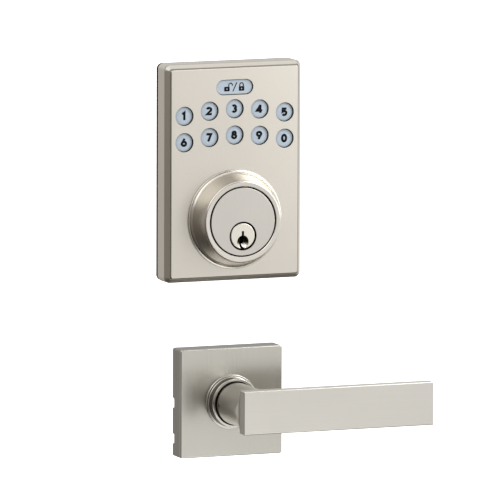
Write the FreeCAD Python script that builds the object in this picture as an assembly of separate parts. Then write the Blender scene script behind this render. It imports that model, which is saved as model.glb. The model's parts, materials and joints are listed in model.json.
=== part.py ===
"""Outside half of a door lock set: a keypad deadbolt above and a lever handle on a square rose below.

Millimetres. X runs to the right as seen from outside the room, Y into the door and Z up. The outer face
of the door is the plane Y = 0 and the origin is the centre of the deadbolt's cross bore, so everything that
shows from outside has a negative Y. The two halves bolt to the door separately, one above the other.
"""

import FreeCAD, Part
import math
import os

V = FreeCAD.Vector
OUT = "parts"

# ---- Keypad housing --------------------------------------------------------------------------------------
WIDTH, HEIGHT = 80.0, 120.0
CENTRE_Z = 25.9  # the housing's middle above the cross bore
PANEL_Y = -15.6  # front panel
STEP_Y = -14.8  # foot of the sloping step round the panel
SHOULDER_Y = -12.5  # where the side walls end and the bevel starts
RIM_Y = -2.6  # back edge of the side walls
BEVEL_INSET, STEP_INSET = 2.1, 2.9
CORNER_R = 3.2
WALL = 2.5
INNER_Y = PANEL_Y + WALL  # inner face of the front panel
SHOULDER_R, PANEL_EDGE_R = 0.7, 0.3

PLATE_T = 2.0  # back plate
PLATE_GAP = 0.2
GASKET_WIDTH = 3.0
PLATE_SCREWS = [(-22, 80.4), (22, 80.4), (-32, 27.5), (32, 27.5), (-32, -27), (32, -27)]
BOSS_R, PILOT_R = 2.4, 1.0

# ---- Keys ------------------------------------------------------------------------------------------------
KEY_PITCH, ROW_PITCH = 14.75, 14.5
ROW_Z = 60.7  # middle key of the upper row
ARC_R = 148.0  # each row bows upwards along an arc of this radius
KEY_HOLE_R, KEY_R = 5.3, 5.1
KEY_TOP_Y = PANEL_Y + 0.9
KEY_FLANGE_R, KEY_FLANGE_T = 5.9, 1.2
KEY_FLANGE_Y = INNER_Y + 0.1
KEY_DOME = 0.25  # crown of a key's face
KEY_STEM_R = 2.0
LOCK_KEY_Z = 72.6
LOCK_HOLE_W, LOCK_HOLE_H, LOCK_GAP = 21.8, 8.5, 0.2
DIGIT_ROWS = ["12345", "67890"]

# ---- Keypad electronics, behind the keys -----------------------------------------------------------------
DOME_TOP_Y = KEY_FLANGE_Y + KEY_FLANGE_T + 0.1
MAT_Y, MAT_T = DOME_TOP_Y + 1.5, 0.9
BOARD_Y, BOARD_T = MAT_Y + MAT_T, 1.6
BOARD_BACK_Y = BOARD_Y + BOARD_T
BOARD_X, BOARD_LOW, BOARD_HIGH = 35.5, 34.4, 77.4
BOARD_SCREWS = [(-31, 73.6), (31, 73.6), (-14.6, 36.6), (14.6, 36.6)]
DOME_R, DOME_TIP_R, DOME_CAVITY_R = 4.3, 3.4, 3.4
PAD_R, PAD_T = 1.8, 0.08

# ---- Key cylinder ----------------------------------------------------------------------------------------
FACE_R, FACE_EDGE_R = 18.7, 0.25
GROOVE = 0.7  # ring gap between the cylinder's face and the guard collar
COLLAR_HEIGHT = 13.0
COLLAR_BASE_R, COLLAR_NOSE_R = 27.5, 22.4
COLLAR_BORE_R = FACE_R + GROOVE
FACE_Y = PANEL_Y - COLLAR_HEIGHT + 0.3
FLANGE_R, FLANGE_T = 25.0, 3.0
BARREL_R, BARREL_END_Y = 9.2, 2.0
CYLINDER_SCREW_R = 22.2  # circle that the collar's screws lie on
PLUG_Z = -7.9
PLUG_R, PLUG_CLEARANCE = 6.35, 0.05
PLUG_HEAD_R, PLUG_HEAD_T, PLUG_RECESS_R = 7.05, 2.4, 7.95
PLUG_FACE_Y = FACE_Y + 0.2
PLUG_END_Y = 5.5
KEYWAY_END_Y = -4.0
SCOOP_R, SCOOP_DEPTH, SCOOP_DROP, SCOOP_TILT_DEG = 3.35, 1.6, 4.0, 24.0  # the hollow that leads the key in
PIN_Y = [FACE_Y + 4.2 + 3.4 * i for i in range(4)]
PIN_HOLE_R, PIN_R = 1.5, 1.4
PIN_HOLE_LOW = -0.4  # where the chambers end in the plug, from its axis
KEY_PIN_LENGTHS = [5.2, 4.3, 5.8, 4.7]
DRIVER_LENGTH = 4.4
PIN_SPRING_TOP = 17.6  # above the plug's axis
TAIL_W, TAIL_T, TAIL_END_Y = 6.2, 2.4, 55.0

# ---- Fixing to the door ----------------------------------------------------------------------------------
BORE_HUB_R = 26.6  # fits a 54 mm cross bore
KEYPAD_HUB_T, LEVER_HUB_T = 6.0, 5.0
HUB_WALL = 2.2
POST_R, POST_HOLE_R = 3.4, 2.1
KEYPAD_POST_END_Y, LEVER_POST_END_Y, POST_HOLE_DEPTH = 22.0, 9.0, 10.0
KEYPAD_POST_X = 19.05
LEVER_POST_X = 22.25
OUTLET_W, OUTLET_H, OUTLET_Z = 14.0, 8.0, 13.0  # cable outlet through the back plate
GROMMET_WALL = 1.0

# ---- Lever handle ----------------------------------------------------------------------------------------
LEVER_Z = -101.6  # four inches below the deadbolt
ROSE_SIDE, ROSE_DEPTH, ROSE_WALL, ROSE_FRONT = 60.0, 12.0, 1.6, 1.8
ROSE_CORNER_R, ROSE_EDGE_R = 1.2, 0.7
NOTCH_W, NOTCH_DEPTH = 4.9, 2.3
NOTCH_OFFSETS = (-0.4, -20.2)  # two prising notches in each side wall, below the rose's middle
COLLAR_RING_R, COLLAR_RING_IN_R = 13.7, 12.2
COLLAR_RING_Y = -ROSE_DEPTH - 6.2
COLLAR_FOOT_R, COLLAR_FOOT_T = 15.1, 0.7
NECK_R, NECK_END_Y = 11.6, COLLAR_RING_Y - 1.5
BLADE_FRONT_Y, BLADE_T = -56.5, 6.4
BLADE_BACK_Y = BLADE_FRONT_Y + BLADE_T
BLADE_LEFT, BLADE_RIGHT, BLADE_HALF_H = -10.5, 101.7, 12.0
BLADE_EDGE = 0.6
FLARE_START_Y, FLARE_RIGHT = BLADE_BACK_Y + 6.0, 6.5
DRIVER_R, DRIVER_FRONT_Y, DRIVER_END_Y = 9.8, BLADE_BACK_Y + 14.0, 6.6
SPINDLE_SIDE, SPINDLE_END_Y = 7.9, 52.0
CAGE_R, CAGE_CAVITY_R = 20.0, 18.5
CAGE_FRONT_Y, CAGE_INNER_Y = -10.0, -8.5
CHASSIS_SIDE, CHASSIS_T = 56.0, 2.5
COVER_T = 1.5
LEVER_TRAVEL_DEG = 50.0
STOP_OUTER_R, STOP_INNER_R, LUG_HALF_W = 18.0, 15.2, 3.0
FLANGE_FRONT_Y, FLANGE_BACK_Y = CAGE_INNER_Y + 0.3, CAGE_INNER_Y + 1.8
SPRING_R, SPRING_WIRE_R, SPRING_PITCH, SPRING_TURNS = 12.0, 0.8, 1.75, 4.5
SPRING_FRONT_Y, SPRING_LEG = FLANGE_BACK_Y + 1.1, 6.0
CATCH_Y, CATCH_R, CATCH_NOSE_X, CATCH_TAIL_X = NECK_END_Y - 2.3, 1.5, -10.9, -7.2
CATCH_POCKET_X = -5.2
PINHOLE_R = 0.85
BUSHING_FRONT_Y = COLLAR_RING_Y + 4.0

COIL_SECTIONS = 8  # per turn of a spring


# ---- Small building blocks -------------------------------------------------------------------------------
def disc(radius, y_front, y_back, x=0.0, z=0.0):
    """A cylinder lying along Y."""
    return Part.makeCylinder(radius, y_back - y_front, V(x, y_front, z), V(0, 1, 0))


def ring(outer, inner, y_front, y_back, x=0.0, z=0.0):
    return disc(outer, y_front, y_back, x, z).cut(disc(inner, y_front - 1, y_back + 1, x, z))


def block(x_low, x_high, y_front, y_back, z_low, z_high):
    return Part.makeBox(x_high - x_low, y_back - y_front, z_high - z_low, V(x_low, y_front, z_low))


def rounded_wire(left, right, low, high, radius, y):
    """A rounded rectangle in the plane Y = y, as eight edges: four lines and four quarter arcs."""
    k = radius * (1 - math.sqrt(0.5))
    corners = [
        ((right - radius, low), (right - k, low + k), (right, low + radius)),
        ((right, high - radius), (right - k, high - k), (right - radius, high)),
        ((left + radius, high), (left + k, high - k), (left, high - radius)),
        ((left, low + radius), (left + k, low + k), (left + radius, low)),
    ]
    edges = []
    for i, corner in enumerate(corners):
        start, middle, end = (V(x, y, z) for x, z in corner)
        after = corners[(i + 1) % 4][0]
        edges.append(Part.Arc(start, middle, end).toShape())
        edges.append(Part.LineSegment(end, V(after[0], y, after[1])).toShape())
    return Part.Wire(edges)


def plate(width, height, radius, y_front, y_back, x=0.0, z=0.0):
    """A flat plate with rounded corners, facing along Y."""
    wire = rounded_wire(x - width / 2, x + width / 2, z - height / 2, z + height / 2, radius, y_front)
    return Part.Face(wire).extrude(V(0, y_back - y_front, 0))


def obround(width, height, y_front, y_back, x=0.0, z=0.0):
    straight = block(x - (width - height) / 2, x + (width - height) / 2, y_front, y_back,
                     z - height / 2, z + height / 2)
    ends = [disc(height / 2, y_front, y_back, x + side * (width - height) / 2, z) for side in (-1, 1)]
    return straight.multiFuse(ends).removeSplitter()


def turned(profile, z=0.0):
    """A solid of revolution about the line through (0, z) along Y.

    The profile is a closed list of (radius, y) points, where a point marked "arc" is the middle of an arc.
    """
    points = [(V(p[0], p[1], z), len(p) > 2) for p in profile]
    points.append(points[0])
    edges = []
    i = 0
    while i < len(points) - 1:
        if points[i + 1][1]:
            edges.append(Part.Arc(points[i][0], points[i + 1][0], points[i + 2][0]).toShape())
            i += 2
        else:
            edges.append(Part.LineSegment(points[i][0], points[i + 1][0]).toShape())
            i += 1
    return Part.Face(Part.Wire(edges)).revolve(V(0, 0, z), V(0, 1, 0), 360)


def fused(first, *others):
    return first.multiFuse(list(others)).removeSplitter()


def edges_in_plane(shape, y):
    """The edges that lie in the plane Y = y."""
    return [e for e in shape.Edges if max(abs(e.BoundBox.YMin - y), abs(e.BoundBox.YMax - y)) < 1e-3]


def screw(x, z, head_y, direction, head_r, head_t, shank_r, length):
    """A pan-head screw with a cross recess. Its head sits on Y = head_y, away from direction."""
    head_end = head_y - direction * head_t
    head = Part.makeCylinder(head_r, head_t, V(x, head_y, z), V(0, -direction, 0))
    head = head.makeFillet(head_t * 0.45, edges_in_plane(head, head_end))
    shank = Part.makeCylinder(shank_r, length, V(x, head_y, z), V(0, direction, 0))
    solid = fused(head, shank)
    depth = head_t * 0.6
    for half_w, half_h in ((head_r * 0.6, head_r * 0.13), (head_r * 0.13, head_r * 0.6)):
        y_low = min(head_end, head_end + direction * depth)
        solid = solid.cut(block(x - half_w, x + half_w, y_low, y_low + depth, z - half_h, z + half_h))
    return solid


def coil(radius, wire_r, pitch, turns, origin, axis, leg=0.0):
    """A coil spring of round wire along an axis, with an optional straight leg running on from each end."""
    rise = pitch / (2 * math.pi)
    path = []
    for i in range(round(turns * COIL_SECTIONS) + 1):
        t = 2 * math.pi * i / COIL_SECTIONS
        centre = V(radius * math.cos(t), radius * math.sin(t), rise * t)
        path.append((centre, V(-radius * math.sin(t), radius * math.cos(t), rise)))
    if leg:
        for end, side in ((0, -1), (len(path) - 1, 1)):
            centre, along = path[end]
            step = V(along).normalize() * (side * leg / 2)
            legs = [(centre + step, along), (centre + step * 2, along)]
            path = legs[::-1] + path if side < 0 else path + legs
    circles = [Part.Wire([Part.makeCircle(wire_r, centre, along)]) for centre, along in path]
    solid = Part.makeLoft(circles, True, False)
    solid.Placement = FreeCAD.Placement(origin, FreeCAD.Rotation(V(0, 0, 1), axis))
    return solid


def edges_at(shape, y, inset, centre_z, width, height):
    """The outline edges that lie in the plane Y = y and within inset of a width by height rectangle."""
    found = []
    for e in shape.Edges:
        b = e.BoundBox
        if abs(b.YMin - y) > 1e-4 or abs(b.YMax - y) > 1e-4:
            continue
        reach = max(abs(b.XMin), abs(b.XMax)) > width / 2 - inset
        reach = reach or max(abs(b.ZMin - centre_z), abs(b.ZMax - centre_z)) > height / 2 - inset
        if reach:
            found.append(e)
    return found


# ---- Keypad housing --------------------------------------------------------------------------------------
def key_places():
    """The centre of each digit's key: two rows of five, each on an arc that bows upwards."""
    places = {}
    for row, digits in enumerate(DIGIT_ROWS):
        for i, digit in enumerate(digits):
            x = (i - 2) * KEY_PITCH
            drop = ARC_R - math.sqrt(ARC_R**2 - x**2)
            places[digit] = (x, ROW_Z - row * ROW_PITCH - drop)
    return places


def escutcheon():
    half_w, half_h = WIDTH / 2, HEIGHT / 2

    def outline(inset, y):
        radius = max(CORNER_R - inset, 1.2)
        return rounded_wire(-half_w + inset, half_w - inset, CENTRE_Z - half_h + inset,
                            CENTRE_Z + half_h - inset, radius, y)

    sides = Part.Face(outline(0, SHOULDER_Y)).extrude(V(0, RIM_Y - SHOULDER_Y, 0))
    bevel = Part.makeLoft([outline(0, SHOULDER_Y), outline(BEVEL_INSET, STEP_Y)], True, True)
    step = Part.makeLoft([outline(BEVEL_INSET + 0.25, STEP_Y), outline(STEP_INSET, PANEL_Y)], True, True)
    body = fused(sides, bevel, step)
    body = body.makeFillet(SHOULDER_R, edges_at(body, SHOULDER_Y, 1.0, CENTRE_Z, WIDTH, HEIGHT))
    body = body.makeFillet(PANEL_EDGE_R, edges_at(body, PANEL_Y, 4.0, CENTRE_Z, WIDTH, HEIGHT))
    body = body.cut(plate(WIDTH - 2 * WALL, HEIGHT - 2 * WALL, 1.2, INNER_Y, RIM_Y + 1, 0, CENTRE_Z))

    plate_front = RIM_Y - PLATE_T
    bosses = [disc(BOSS_R, INNER_Y - 0.5, plate_front, x, z) for x, z in PLATE_SCREWS]
    bosses += [disc(BOSS_R, INNER_Y - 0.5, BOARD_Y, x, z) for x, z in BOARD_SCREWS]
    body = fused(body, *bosses)
    pilots = [disc(PILOT_R, INNER_Y, plate_front + 1, x, z) for x, z in PLATE_SCREWS + BOARD_SCREWS]
    holes = [disc(KEY_HOLE_R, PANEL_Y - 1, INNER_Y + 0.01, x, z) for x, z in key_places().values()]
    holes.append(obround(LOCK_HOLE_W, LOCK_HOLE_H, PANEL_Y - 1, INNER_Y + 0.01, 0, LOCK_KEY_Z))
    holes.append(disc(FACE_R + 0.2, PANEL_Y - 1, INNER_Y + 0.01))
    holes += [disc(1.6, PANEL_Y - 1, INNER_Y + 0.01, x, z) for x, z in cylinder_screw_places()]
    return body.cut(Part.makeCompound(pilots + holes))


def keypad_gasket():
    outer = plate(WIDTH - 0.3, HEIGHT - 0.3, CORNER_R, RIM_Y, 0, 0, CENTRE_Z)
    inner = plate(WIDTH - 2 * GASKET_WIDTH, HEIGHT - 2 * GASKET_WIDTH, 2, RIM_Y - 1, 1, 0, CENTRE_Z)
    return outer.cut(inner)


def back_plate():
    """Closes the housing's back, and carries the rim that centres the lock in the door's cross bore."""
    width, height = WIDTH - 2 * (WALL + PLATE_GAP), HEIGHT - 2 * (WALL + PLATE_GAP)
    sheet = plate(width, height, 1.4, RIM_Y - PLATE_T, RIM_Y, 0, CENTRE_Z)
    hub = ring(BORE_HUB_R, BORE_HUB_R - HUB_WALL, RIM_Y - 0.5, KEYPAD_HUB_T)
    solid = fused(sheet, hub)
    cuts = [disc(BARREL_R + 0.3, -5, 10, 0, PLUG_Z)]
    cuts += [disc(POST_R + 0.2, -5, 10, side * KEYPAD_POST_X, 0) for side in (-1, 1)]
    cuts += [disc(1.4, -5, 0, x, z) for x, z in PLATE_SCREWS]
    cuts.append(obround(OUTLET_W, OUTLET_H, -5, 10, 0, OUTLET_Z))
    return solid.cut(Part.makeCompound(cuts))


def back_plate_screws():
    return [screw(x, z, RIM_Y, -1, 2.2, 1.4, PILOT_R, 8.0) for x, z in PLATE_SCREWS]


def cable_grommet():
    """Rubber lining of the cable outlet, with a lip on each side of the plate."""
    front, back = RIM_Y - PLATE_T, RIM_Y
    lips = [obround(OUTLET_W + 3, OUTLET_H + 3, front - 1, front, 0, OUTLET_Z),
            obround(OUTLET_W + 3, OUTLET_H + 3, back, back + 1, 0, OUTLET_Z)]
    body = fused(obround(OUTLET_W, OUTLET_H, front, back, 0, OUTLET_Z), *lips)
    width, height = OUTLET_W - 2 * GROMMET_WALL, OUTLET_H - 2 * GROMMET_WALL
    return body.cut(obround(width, height, front - 2, back + 2, 0, OUTLET_Z))


# ---- Keys and electronics --------------------------------------------------------------------------------
def round_key(x, z):
    rim_y = KEY_TOP_Y + KEY_DOME
    sphere_r = (KEY_R**2 + KEY_DOME**2) / (2 * KEY_DOME)
    cap = disc(KEY_R, KEY_TOP_Y, KEY_FLANGE_Y, x, z)
    cap = cap.common(Part.makeSphere(sphere_r, V(x, KEY_TOP_Y + sphere_r, z)))
    rim = edges_in_plane(cap, rim_y)
    cap = cap.makeFillet(0.3, rim)
    flange = disc(KEY_FLANGE_R, KEY_FLANGE_Y, KEY_FLANGE_Y + KEY_FLANGE_T, x, z)
    stem = disc(KEY_STEM_R, KEY_FLANGE_Y + KEY_FLANGE_T, DOME_TOP_Y, x, z)
    return fused(cap, flange, stem)


def lock_key():
    """The wide key that locks and unlocks, with one stem in its middle."""
    width, height = LOCK_HOLE_W - 2 * LOCK_GAP, LOCK_HOLE_H - 2 * LOCK_GAP
    cap = obround(width, height, KEY_TOP_Y, KEY_FLANGE_Y, 0, LOCK_KEY_Z)
    cap = cap.makeFillet(0.4, edges_in_plane(cap, KEY_TOP_Y))
    grow = 2 * (KEY_FLANGE_R - KEY_R)
    flange = obround(width + grow, height + grow, KEY_FLANGE_Y, KEY_FLANGE_Y + KEY_FLANGE_T, 0, LOCK_KEY_Z)
    stem = disc(KEY_STEM_R, KEY_FLANGE_Y + KEY_FLANGE_T, DOME_TOP_Y, 0, LOCK_KEY_Z)
    return fused(cap, flange, stem)


def switch_places():
    return list(key_places().values()) + [(0.0, LOCK_KEY_Z)]


def keypad_mat():
    """Silicone sheet with a hollow dome behind each key."""
    low, high = BOARD_LOW + 0.6, BOARD_HIGH - 0.6
    sheet = plate(2 * BOARD_X - 1.2, high - low, 1.5, MAT_Y, MAT_Y + MAT_T, 0, (low + high) / 2)
    domes = []
    for x, z in switch_places():
        height = MAT_Y - DOME_TOP_Y + 0.2
        domes.append(Part.makeCone(DOME_R, DOME_TIP_R, height, V(x, MAT_Y + 0.2, z), V(0, -1, 0)))
    mat = fused(sheet, *domes)
    cuts = [disc(DOME_CAVITY_R - 0.9, DOME_TOP_Y + 0.5, MAT_Y - 0.3, x, z) for x, z in switch_places()]
    cuts += [disc(DOME_CAVITY_R, MAT_Y - 0.3, MAT_Y + MAT_T + 1, x, z) for x, z in switch_places()]
    cuts += [disc(BOSS_R + 0.3, MAT_Y - 1, MAT_Y + 2, x, z) for x, z in BOARD_SCREWS]
    return mat.cut(Part.makeCompound(cuts))


def circuit_board():
    middle = (BOARD_LOW + BOARD_HIGH) / 2
    board = plate(2 * BOARD_X, BOARD_HIGH - BOARD_LOW, 1.5, BOARD_Y, BOARD_BACK_Y, 0, middle)
    return board.cut(Part.makeCompound([disc(1.1, -12, -5, x, z) for x, z in BOARD_SCREWS]))


def contact_pads():
    return [disc(PAD_R, BOARD_Y - PAD_T, BOARD_Y, x, z) for x, z in switch_places()]


def key_leds():
    return [block(x + 1.9, x + 3.0, BOARD_Y - 0.6, BOARD_Y, z - 0.4, z + 0.4) for x, z in switch_places()]


def controller_chip():
    """Square chip with a row of leads down each side."""
    x, z, half = -18.0, 58.0, 5.0
    body = block(x - half, x + half, BOARD_BACK_Y + 0.1, BOARD_BACK_Y + 1.5, z - half, z + half)
    leads = []
    for i in range(8):
        at = z - 4.2 + 1.2 * i
        for start in (x - half - 1.2, x + half - 0.3):
            leads.append(block(start, start + 1.5, BOARD_BACK_Y, BOARD_BACK_Y + 0.4, at - 0.2, at + 0.2))
    return fused(body, *leads)


def buzzer():
    x, z = 18.0, 58.0
    can = disc(6.0, BOARD_BACK_Y, BOARD_BACK_Y + 2.8, x, z)
    return can.cut(disc(1.0, BOARD_BACK_Y + 1.5, BOARD_BACK_Y + 4, x, z))


def harness_socket():
    """Open box header with six pins, for the lead to the inside unit."""
    y_back = BOARD_BACK_Y + 3.0
    shell = block(-8, 8, BOARD_BACK_Y, y_back, 37.4, 42.6)
    shell = shell.cut(block(-7.2, 7.2, BOARD_BACK_Y + 1, y_back + 1, 38.2, 41.8))
    pins = [block(x - 0.3, x + 0.3, BOARD_BACK_Y + 0.9, y_back - 0.8, 39.7, 40.3)
            for x in (-5, -3, -1, 1, 3, 5)]
    return fused(shell, *pins)


def board_screws():
    return [screw(x, z, BOARD_BACK_Y, -1, 1.9, 1.1, PILOT_R, 4.5) for x, z in BOARD_SCREWS]


# ---- Key cylinder ----------------------------------------------------------------------------------------
def cylinder_screw_places():
    angles = [math.radians(a) for a in (55, 125, 235, 305)]
    return [(CYLINDER_SCREW_R * math.cos(a), CYLINDER_SCREW_R * math.sin(a)) for a in angles]


def guard_collar():
    """Tapered ring round the cylinder: a thin foot, a hollow sweep, a cone and a flat nose."""
    foot, nose = PANEL_Y, PANEL_Y - COLLAR_HEIGHT
    sweep_r, sweep_y = COLLAR_BASE_R - 2.2, foot - 3.2
    profile = [
        (COLLAR_BORE_R, foot),
        (COLLAR_BASE_R, foot),
        (COLLAR_BASE_R, foot - 0.5),
        (COLLAR_BASE_R - 0.1, foot - 0.85, "arc"),
        (COLLAR_BASE_R - 0.45, foot - 1.0),
        (COLLAR_BASE_R - 1.5, foot - 1.6, "arc"),
        (sweep_r, sweep_y),
        (COLLAR_NOSE_R + 0.25, nose + 1.1),
        (COLLAR_NOSE_R - 0.1, nose + 0.3, "arc"),
        (COLLAR_NOSE_R - 0.9, nose),
        (COLLAR_BORE_R + 0.3, nose + 0.12),
        (COLLAR_BORE_R, nose + 0.4),
    ]
    collar = turned(profile)
    threads = [disc(1.25, foot - 6.0, foot + 1, x, z) for x, z in cylinder_screw_places()]
    return collar.cut(Part.makeCompound(threads))


def cylinder_housing():
    """Shell of the lock cylinder: round face, clamping flange behind the panel, barrel into the door."""
    flange_back = INNER_Y + FLANGE_T
    shell = fused(disc(FACE_R, FACE_Y, INNER_Y), disc(FLANGE_R, INNER_Y, flange_back),
                  disc(BARREL_R, flange_back, BARREL_END_Y, 0, PLUG_Z))
    shell = shell.makeFillet(FACE_EDGE_R, edges_in_plane(shell, FACE_Y))
    cuts = [disc(PLUG_R + PLUG_CLEARANCE, FACE_Y - 1, BARREL_END_Y + 1, 0, PLUG_Z),
            disc(PLUG_RECESS_R, FACE_Y - 1, PLUG_FACE_Y + PLUG_HEAD_T + 0.05, 0, PLUG_Z)]
    cuts += [Part.makeCylinder(PIN_HOLE_R, FACE_R + 0.5 - PLUG_Z, V(0, y, PLUG_Z), V(0, 0, 1)) for y in PIN_Y]
    cuts += [disc(1.6, INNER_Y - 1, flange_back + 1, x, z) for x, z in cylinder_screw_places()]
    return shell.cut(Part.makeCompound(cuts))


def cylinder_screws():
    """Four screws from behind that clamp the collar, the panel and the cylinder's flange together."""
    return [screw(x, z, INNER_Y + FLANGE_T, -1, 2.4, 1.6, 1.25, 10.5) for x, z in cylinder_screw_places()]


def keyway():
    """The warded slot down the plug, as a prism: a narrow top, a jog to the left and a leaning tail."""
    y_front, y_back = PLUG_FACE_Y - 1, KEYWAY_END_Y
    outline = [(-0.65, 2.7), (0.65, 2.7), (0.65, -0.8), (0.85, -1.6), (0.85, -3.7), (0.3, -4.2), (-0.6, -4.3),
               (-0.5, -5.2), (0.3, -6.3), (1.3, -6.5), (1.4, -7.6), (-0.7, -7.6), (-1.5, -5.8), (-1.8, -4.2),
               (-1.4, -3.3), (-0.65, -2.6)]
    points = [V(x, y_front, PLUG_Z + z) for x, z in outline]
    return Part.Face(Part.makePolygon(points + points[:1])).extrude(V(0, y_back - y_front, 0))


def key_plug():
    """Turning plug with its head, keyway, pin holes and a round scoop that leads the key in."""
    head = disc(PLUG_HEAD_R, PLUG_FACE_Y, PLUG_FACE_Y + PLUG_HEAD_T, 0, PLUG_Z)
    rim = [e for e in head.Edges if abs(e.BoundBox.YMin - PLUG_FACE_Y) < 1e-3 and
           abs(e.BoundBox.YMax - PLUG_FACE_Y) < 1e-3]
    head = head.makeFillet(0.45, rim)
    body = disc(PLUG_R, PLUG_FACE_Y + PLUG_HEAD_T, BARREL_END_Y + 0.1, 0, PLUG_Z)
    tail = disc(PLUG_R - 0.15, BARREL_END_Y + 0.1, PLUG_END_Y, 0, PLUG_Z)
    plug = fused(head, body, tail)
    tilt = math.radians(SCOOP_TILT_DEG)
    scoop = Part.makeCylinder(SCOOP_R, 5.0, V(0, PLUG_FACE_Y + SCOOP_DEPTH, PLUG_Z - SCOOP_DROP),
                              V(0, -math.cos(tilt), math.sin(tilt)))
    cuts = [keyway(), scoop]
    cuts += [Part.makeCylinder(PIN_HOLE_R, 9, V(0, y, PLUG_Z + PIN_HOLE_LOW), V(0, 0, 1)) for y in PIN_Y]
    for cut in cuts:
        plug = plug.cut(cut)
    return plug


def key_pins():
    """Lower pins, which ride in the plug with their tops at its edge."""
    top = PLUG_Z + PLUG_R - 0.2
    pins = []
    for y, length in zip(PIN_Y, KEY_PIN_LENGTHS):
        tip = Part.makeCone(0.5, PIN_R, 0.9, V(0, y, top - length), V(0, 0, 1))
        shank = Part.makeCylinder(PIN_R, length - 0.9, V(0, y, top - length + 0.9), V(0, 0, 1))
        pins.append(fused(tip, shank))
    return pins


def driver_pins():
    low = PLUG_Z + PLUG_R + 0.15
    return [Part.makeCylinder(PIN_R, DRIVER_LENGTH, V(0, y, low), V(0, 0, 1)) for y in PIN_Y]


def pin_springs():
    low = PLUG_Z + PLUG_R + 0.15 + DRIVER_LENGTH + 0.25
    high = PLUG_Z + PIN_SPRING_TOP - 0.25
    pitch = 1.25
    return [coil(0.95, 0.2, pitch, (high - low) / pitch, V(0, y, low), V(0, 0, 1)) for y in PIN_Y]


def chamber_caps():
    low = PLUG_Z + PIN_SPRING_TOP
    return [Part.makeCylinder(PIN_HOLE_R, 1.5, V(0, y, low), V(0, 0, 1)) for y in PIN_Y]


def plug_cap():
    """Threaded cap that holds the tailpiece on the plug's end."""
    y_front, y_back = BARREL_END_Y + 0.15, PLUG_END_Y + 2.0
    cup = disc(PLUG_R + 1.6, y_front, y_back, 0, PLUG_Z)
    cup = cup.cut(disc(PLUG_R - 0.15, y_front - 1, PLUG_END_Y + 1.0, 0, PLUG_Z))
    return cup.cut(disc(4.2, y_front, y_back + 1, 0, PLUG_Z))


def tailpiece():
    """Flat blade that works the bolt in the door's edge."""
    foot = disc(PLUG_R - 0.3, PLUG_END_Y, PLUG_END_Y + 0.95, 0, PLUG_Z)
    blade = block(-TAIL_T / 2, TAIL_T / 2, PLUG_END_Y, TAIL_END_Y, PLUG_Z - TAIL_W / 2, PLUG_Z + TAIL_W / 2)
    ends = [e for e in blade.Edges if abs(e.BoundBox.YMin - TAIL_END_Y) < 1e-6 and e.BoundBox.XLength > 1]
    return fused(blade.makeChamfer(0.9, ends), foot)


def tapped(post, y_end, x, z):
    """Bores a post from its free end at the size of its thread's core."""
    return post.cut(disc(POST_HOLE_R, y_end - POST_HOLE_DEPTH, y_end + 1, x, z))


def keypad_posts():
    """The pair of tapped posts, on the cylinder's flange, that the inside unit's bolts screw into."""
    start, made = INNER_Y + FLANGE_T, []
    for x in (-KEYPAD_POST_X, KEYPAD_POST_X):
        post = fused(disc(POST_R, start, KEYPAD_POST_END_Y, x), disc(POST_R + 1.1, start, start + 1.2, x))
        made.append(tapped(post, KEYPAD_POST_END_Y, x, 0))
    return made


# ---- Lever handle ----------------------------------------------------------------------------------------
def rose():
    outer = plate(ROSE_SIDE, ROSE_SIDE, ROSE_CORNER_R, -ROSE_DEPTH, 0, 0, LEVER_Z)
    outer = outer.makeFillet(ROSE_EDGE_R, edges_at(outer, -ROSE_DEPTH, 2.0, LEVER_Z, ROSE_SIDE, ROSE_SIDE))
    inside = ROSE_SIDE - 2 * ROSE_WALL
    shell = outer.cut(plate(inside, inside, 0.6, ROSE_FRONT - ROSE_DEPTH, 1, 0, LEVER_Z))
    cuts = [disc(COLLAR_RING_R + 0.05, -ROSE_DEPTH - 1, 0, 0, LEVER_Z)]
    for offset in NOTCH_OFFSETS:
        for x in (-ROSE_SIDE / 2, ROSE_SIDE / 2):
            middle = LEVER_Z + offset
            cuts.append(plate_across(x, NOTCH_W, NOTCH_DEPTH, middle))
    for cut in cuts:
        shell = shell.cut(cut)
    return shell


def plate_across(x, width, depth, z):
    """A prising notch's cutter: a block with sloping ends, through the side wall at x, open at the back."""
    slope = 0.45
    points = [V(x - 3, 0.5, z - width / 2 - slope), V(x - 3, 0.5, z + width / 2 + slope),
              V(x - 3, -depth, z + width / 2), V(x - 3, -depth, z - width / 2)]
    return Part.Face(Part.makePolygon(points + points[:1])).extrude(V(6, 0, 0))


def hub_collar():
    """Ring that stands out of the rose round the lever's neck, with a thin foot."""
    foot_front = -ROSE_DEPTH - COLLAR_FOOT_T
    profile = [
        (COLLAR_RING_IN_R, CAGE_FRONT_Y),
        (COLLAR_RING_R, CAGE_FRONT_Y),
        (COLLAR_RING_R, -ROSE_DEPTH),
        (COLLAR_FOOT_R, -ROSE_DEPTH),
        (COLLAR_FOOT_R, foot_front + 0.3),
        (COLLAR_FOOT_R - 0.1, foot_front + 0.1, "arc"),
        (COLLAR_FOOT_R - 0.3, foot_front),
        (COLLAR_RING_R + 0.35, foot_front),
        (COLLAR_RING_R + 0.1, foot_front - 0.1, "arc"),
        (COLLAR_RING_R, foot_front - 0.35),
        (COLLAR_RING_R - 0.05, COLLAR_RING_Y + 0.3),
        (COLLAR_RING_R - 0.12, COLLAR_RING_Y + 0.08, "arc"),
        (COLLAR_RING_R - 0.35, COLLAR_RING_Y),
        (COLLAR_RING_IN_R + 0.15, COLLAR_RING_Y),
        (COLLAR_RING_IN_R, COLLAR_RING_Y + 0.15),
    ]
    return turned(profile, LEVER_Z)


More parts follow.
